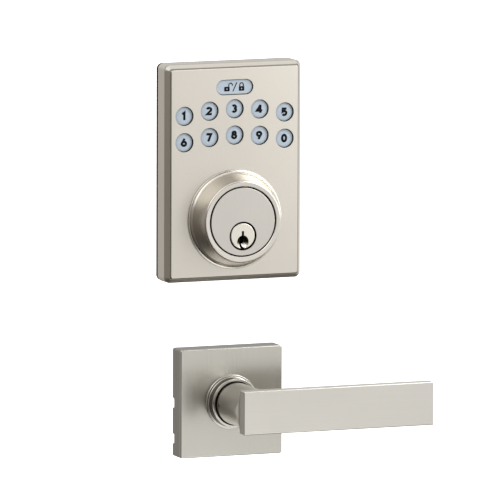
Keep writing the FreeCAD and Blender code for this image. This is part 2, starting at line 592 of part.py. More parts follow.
def sector(radius, half_angle_deg, y_front, y_back):
    """A wedge centred on the downward direction, used to cut ring segments about the lever's axis."""
    a = math.radians(half_angle_deg)
    points = [V(0, y_front, LEVER_Z)]
    for share in (-1, -0.5, 0, 0.5, 1):
        points.append(V(radius * math.sin(a * share), y_front, LEVER_Z - radius * math.cos(a * share)))
    return Part.Face(Part.makePolygon(points + points[:1])).extrude(V(0, y_back - y_front, 0))


def lever_chassis():
    """Mounting plate with the spring cage in front, the bore hub behind and the turning stops inside."""
    base = plate(CHASSIS_SIDE, CHASSIS_SIDE, 1.0, -CHASSIS_T, 0, 0, LEVER_Z)
    cage = disc(CAGE_R, CAGE_FRONT_Y, -CHASSIS_T, 0, LEVER_Z)
    body = fused(base, cage, disc(BORE_HUB_R, 0, LEVER_HUB_T, 0, LEVER_Z))
    body = body.cut(disc(CAGE_CAVITY_R, CAGE_INNER_Y, LEVER_HUB_T + 1, 0, LEVER_Z))
    body = body.cut(disc(12.0, CAGE_FRONT_Y - 1, CAGE_INNER_Y + 1, 0, LEVER_Z))
    lug_half_angle = math.degrees(math.asin(LUG_HALF_W / STOP_INNER_R))
    stops = ring(CAGE_CAVITY_R + 0.2, STOP_INNER_R, CAGE_INNER_Y, FLANGE_BACK_Y, 0, LEVER_Z)
    free_half_angle = LEVER_TRAVEL_DEG + lug_half_angle + 1.5
    stops = stops.cut(sector(60, free_half_angle, CAGE_INNER_Y - 1, FLANGE_BACK_Y + 1))
    body = fused(body, stops)
    holes = [disc(POST_R, -CHASSIS_T - 1, LEVER_HUB_T + 1, side * LEVER_POST_X, LEVER_Z) for side in (-1, 1)]
    return body.cut(Part.makeCompound(holes))


def lever_posts():
    """Tapped posts headed over in front of the mounting plate."""
    made = []
    for x in (-LEVER_POST_X, LEVER_POST_X):
        head = disc(POST_R + 1.0, -CHASSIS_T - 1.0, -CHASSIS_T, x, LEVER_Z)
        head = head.cut(disc(CAGE_R, -CHASSIS_T - 2.0, 0, 0, LEVER_Z))
        post = fused(disc(POST_R, -CHASSIS_T, LEVER_POST_END_Y, x, LEVER_Z), head)
        made.append(tapped(post, LEVER_POST_END_Y, x, LEVER_Z))
    return made


def cage_cover():
    """Disc that closes the spring cage from behind, with the tab that the spring's fixed leg bears on."""
    y_front = LEVER_HUB_T - COVER_T
    cover = ring(CAGE_CAVITY_R, DRIVER_R + 0.4, y_front, LEVER_HUB_T, 0, LEVER_Z)
    tab = block(-7.8, -SPRING_LEG - 0.1, y_front - 1.8, y_front, LEVER_Z - 13.6, LEVER_Z - 11.4)
    return fused(cover, tab)


def lever_bushing():
    return ring(12.0, DRIVER_R + 0.06, BUSHING_FRONT_Y, CAGE_INNER_Y, 0, LEVER_Z)


def thrust_washer():
    return ring(14.0, DRIVER_R + 0.3, CAGE_INNER_Y, FLANGE_FRONT_Y - 0.05, 0, LEVER_Z)


def lever_driver():
    """Tube that carries the lever through the rose, with a stop lug and a spring tab on its flange."""
    tube = disc(DRIVER_R, DRIVER_FRONT_Y, DRIVER_END_Y, 0, LEVER_Z)
    flange = disc(14.4, FLANGE_FRONT_Y, FLANGE_BACK_Y, 0, LEVER_Z)
    lug = block(-LUG_HALF_W, LUG_HALF_W, FLANGE_FRONT_Y, FLANGE_BACK_Y, LEVER_Z - STOP_OUTER_R, LEVER_Z - 12)
    tab = block(-7.6, -SPRING_LEG - 0.1, FLANGE_BACK_Y, FLANGE_BACK_Y + 1.6, LEVER_Z + 10.8, LEVER_Z + 12.2)
    driver = fused(tube, flange, lug, tab)
    half = SPINDLE_SIDE / 2 + 0.05
    cuts = [block(-half, half, DRIVER_FRONT_Y + 1.5, DRIVER_END_Y + 1, LEVER_Z - half, LEVER_Z + half),
            Part.makeCylinder(CATCH_R + 0.08, 20, V(CATCH_POCKET_X, CATCH_Y, LEVER_Z), V(-1, 0, 0)),
            ring(DRIVER_R + 1, 9.0, 5.3, 6.1, 0, LEVER_Z)]
    for cut in cuts:
        driver = driver.cut(cut)
    return driver


def driver_circlip():
    clip = ring(11.4, 9.0, 5.32, 6.08, 0, LEVER_Z)
    return clip.cut(sector(20, 16, 5, 7))


def return_spring():
    """Torsion spring that brings the lever back to level, with a leg at the top and one at the bottom."""
    start = V(0, SPRING_FRONT_Y, LEVER_Z)
    spring = coil(SPRING_R, SPRING_WIRE_R, SPRING_PITCH, SPRING_TURNS, start, V(0, 1, 0), SPRING_LEG)
    spring.rotate(V(0, 0, LEVER_Z), V(0, 1, 0), -90)
    return spring


def spindle():
    half = SPINDLE_SIDE / 2
    bar = block(-half, half, DRIVER_FRONT_Y + 2, SPINDLE_END_Y, LEVER_Z - half, LEVER_Z + half)
    ends = [e for e in bar.Edges if abs(e.BoundBox.YMin - SPINDLE_END_Y) < 1e-6]
    return bar.makeChamfer(0.8, ends)


def flare():
    """The swell from round neck to flat blade: rounded rectangles that open out along a hollow curve."""
    sections = []
    steps = 6
    depth = FLARE_START_Y - (BLADE_BACK_Y - 0.5)
    for i in range(steps + 1):
        turn = math.pi / 2 * i / steps
        grown = 1 - math.cos(turn)
        y = FLARE_START_Y - depth * math.sin(turn)
        radius = NECK_R - 0.1 - (NECK_R - 1.3) * grown
        half_h = NECK_R + (BLADE_HALF_H - 0.1 - NECK_R) * grown
        left = -NECK_R + (NECK_R + BLADE_LEFT + 0.1) * grown
        right = NECK_R + FLARE_RIGHT * grown
        sections.append(rounded_wire(left, right, LEVER_Z - half_h, LEVER_Z + half_h, radius, y))
    return Part.makeLoft(sections, True, False)


def lever_handle():
    """Round neck, flare and flat blade in one casting, bored for the driver tube."""
    neck = disc(NECK_R, FLARE_START_Y, NECK_END_Y, 0, LEVER_Z)
    neck = neck.makeFillet(0.5, edges_in_plane(neck, NECK_END_Y))
    low, high = LEVER_Z - BLADE_HALF_H, LEVER_Z + BLADE_HALF_H
    blade = block(BLADE_LEFT, BLADE_RIGHT, BLADE_FRONT_Y, BLADE_BACK_Y, low, high)
    blade = blade.makeFillet(BLADE_EDGE, blade.Edges)
    lever = fused(neck, flare(), blade)
    cuts = [disc(DRIVER_R, DRIVER_FRONT_Y - 0.5, NECK_END_Y + 1, 0, LEVER_Z),
            Part.makeCylinder(CATCH_R + 0.08, 6, V(CATCH_NOSE_X - 0.1, CATCH_Y, LEVER_Z), V(1, 0, 0)),
            Part.makeCylinder(PINHOLE_R, 6, V(-NECK_R - 1, CATCH_Y, LEVER_Z), V(1, 0, 0))]
    for cut in cuts:
        lever = lever.cut(cut)
    return lever


def lever_catch():
    """Sprung pin that keys the lever to its driver; a tool through the pinhole pushes it in."""
    length = CATCH_TAIL_X - CATCH_NOSE_X
    pin = Part.makeCylinder(CATCH_R, length, V(CATCH_NOSE_X, CATCH_Y, LEVER_Z), V(1, 0, 0))
    nose = [e for e in pin.Edges if abs(e.BoundBox.XMax - CATCH_NOSE_X) < 1e-6]
    return pin.makeFillet(0.4, nose)


def catch_spring():
    pitch = 0.6
    turns = (CATCH_POCKET_X - CATCH_TAIL_X - 0.6) / pitch
    return coil(0.95, 0.2, pitch, turns, V(CATCH_TAIL_X + 0.3, CATCH_Y, LEVER_Z), V(1, 0, 0))


def rose_clips():
    """Four leaf clips on the mounting plate that grip the rose's side walls."""
    edge, start, end, leaf_t = CHASSIS_SIDE / 2, 7, 17, 0.3
    clips = []
    for turn in range(4):
        leaf = block(start, end, CAGE_FRONT_Y + 1, -CHASSIS_T, LEVER_Z + edge, LEVER_Z + edge + leaf_t)
        foot = block(start, end, -CHASSIS_T - leaf_t, -CHASSIS_T, LEVER_Z + edge - 5, LEVER_Z + edge + leaf_t)
        clip = fused(leaf, foot)
        clip.rotate(V(0, 0, LEVER_Z), V(0, 1, 0), 90 * turn)
        clips.append(clip)
    return clips


# ---- Writing ---------------------------------------------------------------------------------------------
def nodes():
    made = {
        "escutcheon": escutcheon(),
        "keypad_gasket": keypad_gasket(),
        "back_plate": back_plate(),
        "back_plate_screws": back_plate_screws(),
        "cable_grommet": cable_grommet(),
        "key_lock": lock_key(),
        "keypad_mat": keypad_mat(),
        "circuit_board": circuit_board(),
        "contact_pads": contact_pads(),
        "key_leds": key_leds(),
        "controller_chip": controller_chip(),
        "buzzer": buzzer(),
        "harness_socket": harness_socket(),
        "board_screws": board_screws(),
        "guard_collar": guard_collar(),
        "cylinder_housing": cylinder_housing(),
        "cylinder_screws": cylinder_screws(),
        "keypad_posts": keypad_posts(),
        "key_plug": key_plug(),
        "key_pins": key_pins(),
        "driver_pins": driver_pins(),
        "pin_springs": pin_springs(),
        "chamber_caps": chamber_caps(),
        "plug_cap": plug_cap(),
        "tailpiece": tailpiece(),
        "rose": rose(),
        "lever_chassis": lever_chassis(),
        "lever_posts": lever_posts(),
        "cage_cover": cage_cover(),
        "hub_collar": hub_collar(),
        "lever_bushing": lever_bushing(),
        "thrust_washer": thrust_washer(),
        "lever_driver": lever_driver(),
        "driver_circlip": driver_circlip(),
        "return_spring": return_spring(),
        "spindle": spindle(),
        "lever_handle": lever_handle(),
        "lever_catch": lever_catch(),
        "catch_spring": catch_spring(),
        "rose_clips": rose_clips(),
    }
    for digit, (x, z) in key_places().items():
        made["key_" + digit] = round_key(x, z)
    return made


def main():
    os.makedirs(OUT, exist_ok=True)
    for name, shape in nodes().items():
        if isinstance(shape, list):
            shape = Part.makeCompound(shape)
        if not shape.isValid() or not shape.Solids:
            print("PROBLEM", name, "valid", shape.isValid(), "solids", len(shape.Solids))
        shape.exportStep(os.path.join(OUT, name + ".step"))


main()
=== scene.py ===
"""The looks of a keypad deadbolt and a lever handle: materials, printed keys, soft parts, lights and camera.

Metres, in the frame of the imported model: X to the right, Y into the door, Z up, with the origin at the
deadbolt's cross bore on the door's outer face.
"""

import json
import math

import bpy
import bmesh
from mathutils import Matrix, Vector


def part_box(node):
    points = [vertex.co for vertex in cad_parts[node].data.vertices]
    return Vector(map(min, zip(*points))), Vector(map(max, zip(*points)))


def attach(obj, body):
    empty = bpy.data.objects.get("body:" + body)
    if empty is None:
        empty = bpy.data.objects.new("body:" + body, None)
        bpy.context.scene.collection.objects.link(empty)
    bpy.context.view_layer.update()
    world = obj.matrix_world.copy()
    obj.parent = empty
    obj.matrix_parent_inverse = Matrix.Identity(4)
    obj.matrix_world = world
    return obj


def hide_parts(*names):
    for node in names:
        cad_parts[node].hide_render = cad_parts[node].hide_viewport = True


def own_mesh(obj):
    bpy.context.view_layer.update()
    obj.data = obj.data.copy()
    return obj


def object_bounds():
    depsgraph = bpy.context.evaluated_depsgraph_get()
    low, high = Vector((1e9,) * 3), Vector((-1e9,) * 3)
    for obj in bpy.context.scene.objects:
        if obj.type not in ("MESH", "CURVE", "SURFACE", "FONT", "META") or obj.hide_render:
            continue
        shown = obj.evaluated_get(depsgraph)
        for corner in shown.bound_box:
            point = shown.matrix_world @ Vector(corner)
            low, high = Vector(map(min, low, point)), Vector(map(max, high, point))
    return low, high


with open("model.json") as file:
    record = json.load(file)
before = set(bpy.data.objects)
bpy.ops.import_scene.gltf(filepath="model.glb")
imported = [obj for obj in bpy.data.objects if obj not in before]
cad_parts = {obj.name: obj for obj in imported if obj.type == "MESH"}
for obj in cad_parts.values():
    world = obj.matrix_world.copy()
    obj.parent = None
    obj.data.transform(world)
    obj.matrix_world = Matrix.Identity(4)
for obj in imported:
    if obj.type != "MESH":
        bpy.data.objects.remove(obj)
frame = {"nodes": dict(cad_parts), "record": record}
NODES = frame["nodes"]
CAD_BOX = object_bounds()

MM = 0.001

# ---- Camera -------------------------------------------------------------------------------------------
SENSOR = 36.0  # mm
VIEW_AZIMUTH, VIEW_ELEVATION, VIEW_ROLL = -21.9, 7.5, 0.17  # degrees
CAMERA_DISTANCE = 6.0
FRAME_WIDTH = 0.2742  # what the picture spans at the deadbolt's bore
AIM_RIGHT, AIM_UP = 0.0143, -0.0189  # from the bore's centre to the picture's, in the picture's axes
CLIP_END = 60

# ---- Studio: soft patches of light in a grey surround -------------------------------------------------
# Azimuth and elevation of a patch's middle, the angles inside which it is full and outside which it is
# gone, and its strength. Azimuth 0 is in front of the lock, 90 to its right. Negative is a dark card.
PATCHES = [
    (36, -4, 26, 56, 0.68),
    (-42, 38, 8, 28, 1.20),
    (0, 85, 15, 50, 0.70),
    (105, -5, 15, 45, 0.70),
    (31, 33, 11, 26, -0.75),
    (-30, -8, 16, 40, -0.06),
    (-20, -50, 15, 40, -0.18),
    (-158, -6, 18, 45, 0.34),
    (158, 22, 18, 50, 0.35),
]
SURROUND_BELOW, SURROUND_ABOVE = 0.16, 0.42
DARKEST = 0.03  # the room is nowhere darker, dark cards included
DIM, BRIGHT = 0.15, 0.75  # strengths at which the room has each of the next two tints
DIM_TINT, BRIGHT_TINT = (1.0, 0.90, 0.78), (1.0, 0.992, 0.975)
BACKDROP_WHITE = 1.0
FLOOR_HALF, FLOOR_DROP = 25.0, 0.25  # half the floor's side, and how far it is below the lock

# ---- Printing on the keys -----------------------------------------------------------------------------
INK_LIFT, INK_T = 0.03 * MM, 0.03 * MM
INK_STEP = 0.004 * MM  # how far each stroke of a figure lies over the one before
FIGURE_HEIGHT, FIGURE_STROKE = 4.75 * MM, 1.3 * MM
FIGURE_WIDENING = 1.14  # a figure's width over what FIGURES gives
ICON_X = 4.3 * MM  # each padlock's distance from the middle of the wide key
PADLOCK_W, PADLOCK_H, SHACKLE_T = 3.2 * MM, 2.5 * MM, 0.55 * MM
SHACKLE_BEND = 0.8 * MM  # how far the middle of a shackle's bend is above the padlock's body


# ---- Shader building blocks ---------------------------------------------------------------------------
def new_material(name):
    """A node material and its shader, which is already wired to the output."""
    material = bpy.data.materials.new(name)
    material.use_nodes = True
    tree = material.node_tree
    return material, tree, tree.nodes["Principled BSDF"]


def connect(tree, value, socket):
    """Wires an output to a socket, or writes a plain number there."""
    if isinstance(value, (int, float)):
        socket.default_value = value
    else:
        tree.links.new(value, socket)


def calc(tree, operation, a, b=0.0):
    node = tree.nodes.new("ShaderNodeMath")
    node.operation = operation
    connect(tree, a, node.inputs[0])
    connect(tree, b, node.inputs[1])
    return node.outputs[0]


def remap(tree, value, start, end, low, high, smooth=False):
    """Maps start..end to low..high, and holds outside it."""
    node = tree.nodes.new("ShaderNodeMapRange")
    node.interpolation_type = "SMOOTHSTEP" if smooth else "LINEAR"
    for name, number in (("From Min", start), ("From Max", end), ("To Min", low), ("To Max", high)):
        node.inputs[name].default_value = number
    tree.links.new(value, node.inputs["Value"])
    return node.outputs["Result"]


def blend_colours(tree, share, low, high):
    """Mixes two colours, each a triple or an output."""
    node = tree.nodes.new("ShaderNodeMix")
    node.data_type = "RGBA"
    tree.links.new(share, node.inputs[0])
    for value, socket in ((low, node.inputs[6]), (high, node.inputs[7])):
        if isinstance(value, tuple):
            socket.default_value = (*value, 1)
        else:
            tree.links.new(value, socket)
    return node.outputs[2]


def place(tree):
    """The X, Y and Z of the shaded point in the object's own space."""
    coordinates = tree.nodes.new("ShaderNodeTexCoord")
    split = tree.nodes.new("ShaderNodeSeparateXYZ")
    tree.links.new(coordinates.outputs["Object"], split.inputs[0])
    return split.outputs[0], split.outputs[1], split.outputs[2]


def off_axis(tree, x, z, centre_z=0.0):
    """Distance from the line along Y through (0, centre_z)."""
    dz = calc(tree, "SUBTRACT", z, centre_z)
    return calc(tree, "SQRT", calc(tree, "ADD", calc(tree, "MULTIPLY", x, x), calc(tree, "MULTIPLY", dz, dz)))


def noise(tree, scale, stretch=(1, 1, 1), detail=4.0, vector=None):
    """Noise in the object's own space; stretch squeezes it along an axis into brush lines."""
    mapping = tree.nodes.new("ShaderNodeMapping")
    mapping.inputs["Scale"].default_value = stretch
    texture = tree.nodes.new("ShaderNodeTexNoise")
    texture.inputs["Scale"].default_value = scale
    texture.inputs["Detail"].default_value = detail
    if vector is None:
        vector = tree.nodes.new("ShaderNodeTexCoord").outputs["Object"]
    tree.links.new(vector, mapping.inputs["Vector"])
    tree.links.new(mapping.outputs["Vector"], texture.inputs["Vector"])
    return texture.outputs["Fac"]


def turned_lines(tree, scale, centre_z):
    """Noise that runs in rings round the line along Y through (0, centre_z), as a lathe leaves it."""
    x, y, z = place(tree)
    joined = tree.nodes.new("ShaderNodeCombineXYZ")
    tree.links.new(off_axis(tree, x, z, centre_z), joined.inputs[0])
    tree.links.new(y, joined.inputs[1])
    return noise(tree, scale, vector=joined.outputs[0])


def bump(tree, height, strength, distance):
    node = tree.nodes.new("ShaderNodeBump")
    node.inputs["Strength"].default_value = strength
    node.inputs["Distance"].default_value = distance
    tree.links.new(height, node.inputs["Height"])
    return node.outputs["Normal"]


# ---- Materials ----------------------------------------------------------------------------------------
EVEN, ALONG_X, ALONG_Z = (1, 1, 1), (0.02, 1, 1), (1, 1, 0.02)
BRUSH_GREY = (0.30, 0.28, 0.25)  # what a brush line tends to
# the dark that painted shade pulls the nickel finishes towards
NICKEL_SHADE_DARK = (0.015, 0.013, 0.011)
# the dark that painted shade pulls the plain finishes towards
PLAIN_SHADE_DARK = (0.05, 0.055, 0.06)
PLAIN_BUMP, BRUSH_BUMP = 0.3, 0.08  # how strongly the grain of each finish shows


def nickel(name, tone, rough, lines, shade=None, grain=0.003 * MM):
    """Satin nickel: a faintly cloudy warm tone and fine brush lines, with painted shade, darker and rougher,
    where shade is 1.
    """
    material, tree, shader = new_material(name)
    shader.inputs["Metallic"].default_value = 1.0
    height = lines(tree)
    cloud = noise(tree, 26.0, EVEN, 3.0)
    colour = blend_colours(tree, remap(tree, cloud, 0.3, 0.7, 0, 1), tuple(c * 0.965 for c in tone), tone)
    colour = blend_colours(tree, remap(tree, height, 0.35, 0.65, 0, 0.03), colour, BRUSH_GREY)
    roughness = remap(tree, height, 0.3, 0.7, rough - 0.025, rough + 0.025)
    if shade:
        dark = shade(tree)
        # painted shade: the colour goes dark where the mask is 1
        colour = blend_colours(tree, dark, colour, NICKEL_SHADE_DARK)
        roughness = calc(tree, "ADD", roughness, calc(tree, "MULTIPLY", dark, 0.3))
    tree.links.new(colour, shader.inputs["Base Color"])
    tree.links.new(roughness, shader.inputs["Roughness"])
    tree.links.new(bump(tree, height, BRUSH_BUMP, grain), shader.inputs["Normal"])
    return material


def plain(name, dark, light, rough, metallic=0.0, scale=300.0, depth=0.02 * MM, gloss=0.5, shade=None):
    """A simple finish with a little mottling and grain, darkened with painted shade where shade is 1."""
    material, tree, shader = new_material(name)
    shader.inputs["Metallic"].default_value = metallic
    shader.inputs["Specular IOR Level"].default_value = gloss
    grain = noise(tree, scale)
    colour = blend_colours(tree, remap(tree, grain, 0.3, 0.7, 0, 1), dark, light)
    if shade:
        # painted shade: the colour goes dark where the mask is 1
        colour = blend_colours(tree, shade(tree), colour, PLAIN_SHADE_DARK)
    tree.links.new(colour, shader.inputs["Base Color"])
    tree.links.new(remap(tree, grain, 0.2, 0.8, rough - 0.06, rough + 0.06), shader.inputs["Roughness"])
    tree.links.new(bump(tree, grain, PLAIN_BUMP, depth), shader.inputs["Normal"])
    return material


def brushed(scale, stretch):
    """Brush lines along the axis that stretch squeezes."""
    return lambda tree: noise(tree, scale, stretch, 6.0)


def ringed(scale, centre_z=0.0):
    """Lathe lines round an axis along Y."""
    return lambda tree: turned_lines(tree, scale, centre_z)


def behind(front_y, start, end, reach=None, most=1.0):
    """Shade that deepens from start to end behind a front plane, or only within reach of the bore's axis."""
    def shade(tree):
        x, y, z = place(tree)
        dark = remap(tree, y, front_y + start, front_y + end, 0, most, True)
        if reach:
            near = calc(tree, "LESS_THAN", off_axis(tree, x, z), reach)
            dark = calc(tree, "MULTIPLY", dark, near)
        return dark
    return shade


def inside_panel():
    """Shade on the walls of the holes through the panel, and thin lines of painted shade at the bevel's two
    edges.
    """
    low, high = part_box("escutcheon")
    border, blur = 4 * MM, 0.2 * MM
    lines = ((0.3 * MM, 0.9 * MM, 0.6), (2.9 * MM, 3.4 * MM, 0.3))  # start, end, darkness

    def shade(tree):
        x, y, z = place(tree)
        depth = calc(tree, "SUBTRACT", y, low[1])
        dark = remap(tree, depth, 0.05 * MM, 0.5 * MM, 0, 0.8)
        for value, axis in ((x, 0), (z, 2)):
            middle, half = (low[axis] + high[axis]) / 2, (high[axis] - low[axis]) / 2
            offset = calc(tree, "ABSOLUTE", calc(tree, "SUBTRACT", value, middle))
            dark = calc(tree, "MULTIPLY", dark, calc(tree, "LESS_THAN", offset, half - border))
        for start, end, most in lines:
            begins = remap(tree, depth, start - blur, start + blur, 0, most, True)
            ends = remap(tree, depth, end - blur, end + blur, 1, 0, True)
            dark = calc(tree, "MAXIMUM", dark, calc(tree, "MULTIPLY", begins, ends))
        return dark
    return shade


def hub_wall():
    """Shade on the wall of the ring round the lever's neck, between its bright rim and its bright foot."""
    rim_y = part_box("hub_collar")[0][1]

    def shade(tree):
        depth = calc(tree, "SUBTRACT", place(tree)[1], rim_y)
        begins = remap(tree, depth, 0.15 * MM, 0.5 * MM, 0, 0.8, True)
        ends = remap(tree, depth, 5.0 * MM, 5.3 * MM, 1, 0, True)
        return calc(tree, "MULTIPLY", begins, ends)
    return shade


def middle_of(node):
    """The middle of a node's box."""
    low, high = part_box(node)
    return (Vector(low) + Vector(high)) / 2


FACE_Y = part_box("cylinder_housing")[0][1]
PLUG_FACE_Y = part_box("key_plug")[0][1]
COLLAR_NOSE_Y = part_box("guard_collar")[0][1]
PLUG_Z = middle_of("key_plug").z
LEVER_Z = middle_of("rose").z
ROSE_FACE_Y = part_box("rose")[0][1]
BLADE_T = 6.4 * MM
BLADE_BACK_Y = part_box("lever_handle")[0][1] + BLADE_T
COLLAR_REACH = 19.8 * MM  # takes in the collar's bore and leaves out its tapered outside
KEY_FACE_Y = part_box("key_1")[0][1]

FINISHES = {
    # painted shade on the walls of the panel's holes and in thin lines at its bevel's edges
    "satin_nickel": nickel("housing_nickel", (0.68, 0.645, 0.585), 0.36, brushed(900, EVEN),
                           inside_panel()),
    "satin_nickel_turned": nickel("turned_nickel", (0.72, 0.685, 0.63), 0.26, ringed(1500)),
    # painted shade on the housing behind its face: round the plug and in the groove
    "cylinder_nickel": nickel("cylinder_nickel", (0.63, 0.605, 0.565), 0.33, brushed(1200, ALONG_Z),
                              behind(FACE_Y, 0.3 * MM, 0.8 * MM)),
    # painted shade in the plug's keyway and scoop
    "plug_nickel": nickel("plug_nickel", (0.84, 0.80, 0.72), 0.24, ringed(1800, PLUG_Z),
                          behind(PLUG_FACE_Y, 0.7 * MM, 1.9 * MM)),
    # painted shade on the rose's side walls
    "satin_nickel_brushed": nickel("rose_nickel", (0.59, 0.575, 0.53), 0.25, brushed(1300, ALONG_Z),
                                   behind(ROSE_FACE_Y, 0.8 * MM, 1.4 * MM, most=0.5), 0.001 * MM),
    # painted shade on the lever's neck behind the blade
    "lever_nickel": nickel("lever_nickel", (0.70, 0.68, 0.635), 0.30, brushed(1300, ALONG_X),
                           behind(BLADE_BACK_Y, 1.0 * MM, 5.0 * MM, most=0.12)),
    "black_rubber": plain("black_rubber", (0.004, 0.004, 0.004), (0.008, 0.008, 0.008), 0.85, gloss=0.1),
    "plated_steel": plain("plated_steel", (0.52, 0.51, 0.47), (0.64, 0.63, 0.58), 0.34, 1.0),
    "screw_steel": plain("screw_steel", (0.46, 0.46, 0.46), (0.58, 0.58, 0.57), 0.28, 1.0),
    "silicone": plain("silicone", (0.50, 0.52, 0.54), (0.56, 0.58, 0.60), 0.55),
    "board_green": plain("board_green", (0.01, 0.10, 0.04), (0.02, 0.15, 0.06), 0.35),
    "contact_gold": plain("contact_gold", (0.75, 0.52, 0.20), (0.85, 0.62, 0.28), 0.28, 1.0),
    "led_lens": plain("led_lens", (0.70, 0.80, 0.95), (0.80, 0.88, 1.0), 0.15),
    "chip_black": plain("chip_black", (0.010, 0.010, 0.012), (0.020, 0.020, 0.022), 0.5),
    "socket_white": plain("socket_white", (0.70, 0.69, 0.62), (0.78, 0.77, 0.70), 0.4),
    "pin_brass": plain("pin_brass", (0.70, 0.48, 0.20), (0.80, 0.57, 0.27), 0.28, 1.0),
    "spring_wire": plain("spring_wire", (0.40, 0.40, 0.40), (0.50, 0.50, 0.50), 0.25, 1.0),
    "black_acetal": plain("black_acetal", (0.008, 0.008, 0.009), (0.016, 0.016, 0.017), 0.45),
    # painted shade round each key's rim, where it sits in its well
    "key_blue": plain("key_blue", (0.49, 0.58, 0.68), (0.54, 0.63, 0.72), 0.38, 0.0, 700.0, 0.01 * MM,
                      shade=behind(KEY_FACE_Y, 0.10 * MM, 0.42 * MM, most=0.9)),
}
# painted shade in the collar's bore
COLLAR = nickel("collar_nickel", (0.72, 0.685, 0.63), 0.24, ringed(1500),
                behind(COLLAR_NOSE_Y, 0.4 * MM, 0.9 * MM, COLLAR_REACH))
# the catch is blacked steel, dark enough that the pinhole in front of it reads as painted shade
BLACKED_STEEL_SHADE = plain("blacked_steel_shade", (0.02, 0.02, 0.02), (0.04, 0.04, 0.04), 0.4, 1.0)
# painted shade on the hub's wall, between its rim and its foot
HUB = nickel("hub_nickel", (0.74, 0.715, 0.66), 0.20, ringed(1500, LEVER_Z), hub_wall())
OWN_FINISH = {"guard_collar": COLLAR, "lever_catch": BLACKED_STEEL_SHADE, "hub_collar": HUB}
INK = plain("key_ink", (0.003, 0.004, 0.008), (0.006, 0.008, 0.013), 0.6, gloss=0.12)


def studio_white():
    """The floor under the lock, which is simply white."""
    material, tree, shader = new_material("studio_white")
    white = blend_colours(tree, noise(tree, 3.0), (0.90, 0.90, 0.90), (0.92, 0.92, 0.92))
    tree.links.new(white, shader.inputs["Base Color"])
    shader.inputs["Roughness"].default_value = 0.9
    shader.inputs["Emission Color"].default_value = (1, 1, 1, 1)
    shader.inputs["Emission Strength"].default_value = BACKDROP_WHITE
    return material


def finish_nodes():
    """Gives every CAD node the finish of its slot, or one of its own."""
    for part in frame["record"]["subparts"]:
        node = NODES[part["node"]]
        node.data.materials.clear()
        node.data.materials.append(OWN_FINISH.get(part["node"]) or FINISHES[part["material_slot"]])


# ---- Printing -----------------------------------------------------------------------------------------
def arc(centre_x, centre_z, radius, start, end, steps=16):
    """Points along part of a circle, with angles in degrees."""
    angles = [math.radians(start + (end - start) * i / steps) for i in range(steps + 1)]
    return [(centre_x + radius * math.cos(a), centre_z + radius * math.sin(a)) for a in angles]


def ring(centre_x, centre_z, half_w, half_h):
    """A closed oval stroke."""
    return [(centre_x + half_w * x, centre_z + half_h * z) for x, z in arc(0, 0, 1, 0, 360, 32)]


# The middle line of each figure's strokes, as shares of its height. The middle of the figure is at (0, 0).
FIGURES = {
    "1": [[(-0.26, 0.33), (0.06, 0.56), (0.06, -0.64)]],
    "2": [arc(0, 0.21, 0.29, 168, -38) + [(-0.30, -0.5), (0.40, -0.5)]],
    "3": [arc(0, 0.25, 0.25, 150, -100), arc(0, -0.23, 0.27, 100, -150)],
    "4": [[(0.17, 0.64), (0.17, -0.64)], [(0.20, 0.62), (-0.34, -0.27), (0.44, -0.27)]],
    "5": [[(0.34, 0.5), (-0.19, 0.5), (-0.23, 0.03), *arc(0, -0.19, 0.31, 118, -142)]],
    "6": [ring(0, -0.2, 0.3, 0.3), [(0.10, 0.62), (-0.26, -0.06)]],
    "7": [[(-0.38, 0.5), (0.31, 0.5), (-0.12, -0.64)]],
    "8": [ring(0, 0.27, 0.23, 0.23), ring(0, -0.21, 0.29, 0.29)],
    "9": [ring(0, 0.2, 0.3, 0.3), [(-0.10, -0.62), (0.26, 0.06)]],
    "0": [ring(0, 0, 0.29, 0.5)],
}


def ribbon(points, width):
    """The outlines of a stroke of even width: one for an open stroke, two for a closed one."""
    closed = (Vector(points[0]) - Vector(points[-1])).length < width * 0.01
    line = [Vector(p) for p in (points[:-1] if closed else points)]
    sides = ([], [])
    for i, point in enumerate(line):
        before = line[i - 1] if i or closed else None
        after = line[(i + 1) % len(line)] if i + 1 < len(line) or closed else None
        ways = [(b - a).normalized() for a, b in ((before, point), (point, after)) if a and b]
        normals = [Vector((-way.y, way.x)) for way in ways]
        middle = sum(normals, Vector((0, 0))).normalized()
        offset = middle * (width / 2 / max(middle.dot(normals[0]), 0.45))
        sides[0].append(tuple(point + offset))
        sides[1].append(tuple(point - offset))
    return list(sides) if closed else [sides[0] + sides[1][::-1]]


def filled(outlines):
    """A thin mesh in the XZ plane that fills outlines, with any outline inside another as a hole."""
    curve = bpy.data.curves.new("outline", "CURVE")
    curve.dimensions = "2D"
    curve.fill_mode = "BOTH"
    curve.extrude = INK_T / 2
    for outline in outlines:
        spline = curve.splines.new("POLY")
        spline.points.add(len(outline) - 1)
        for point, (x, z) in zip(spline.points, outline):
            point.co = (x, z, 0, 1)
        spline.use_cyclic_u = True
    holder = bpy.data.objects.new("outline", curve)
    mesh = bpy.data.meshes.new_from_object(holder)
    bpy.data.objects.remove(holder)
    mesh.transform(Matrix.Rotation(math.pi / 2, 4, "X"))
    return mesh


def print_on(name, key, shapes):
    """Prints shapes, each a list of outlines, on a key, centred on the middle of its front."""
    low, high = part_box(key)
    spot = Vector(((low[0] + high[0]) / 2, low[1] - INK_LIFT, (low[2] + high[2]) / 2))
    joined = bmesh.new()
    for layer, outlines in enumerate(shapes):
        stroke = filled(outlines)
        stroke.transform(Matrix.Translation((0, -layer * INK_STEP, 0)))
        joined.from_mesh(stroke)
    mesh = bpy.data.meshes.new(name)
    joined.to_mesh(mesh)
    joined.free()
    mesh.transform(Matrix.Translation(spot))
    mesh.materials.append(INK)
    piece = bpy.data.objects.new(name, mesh)
    bpy.context.scene.collection.objects.link(piece)
    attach(piece, key)


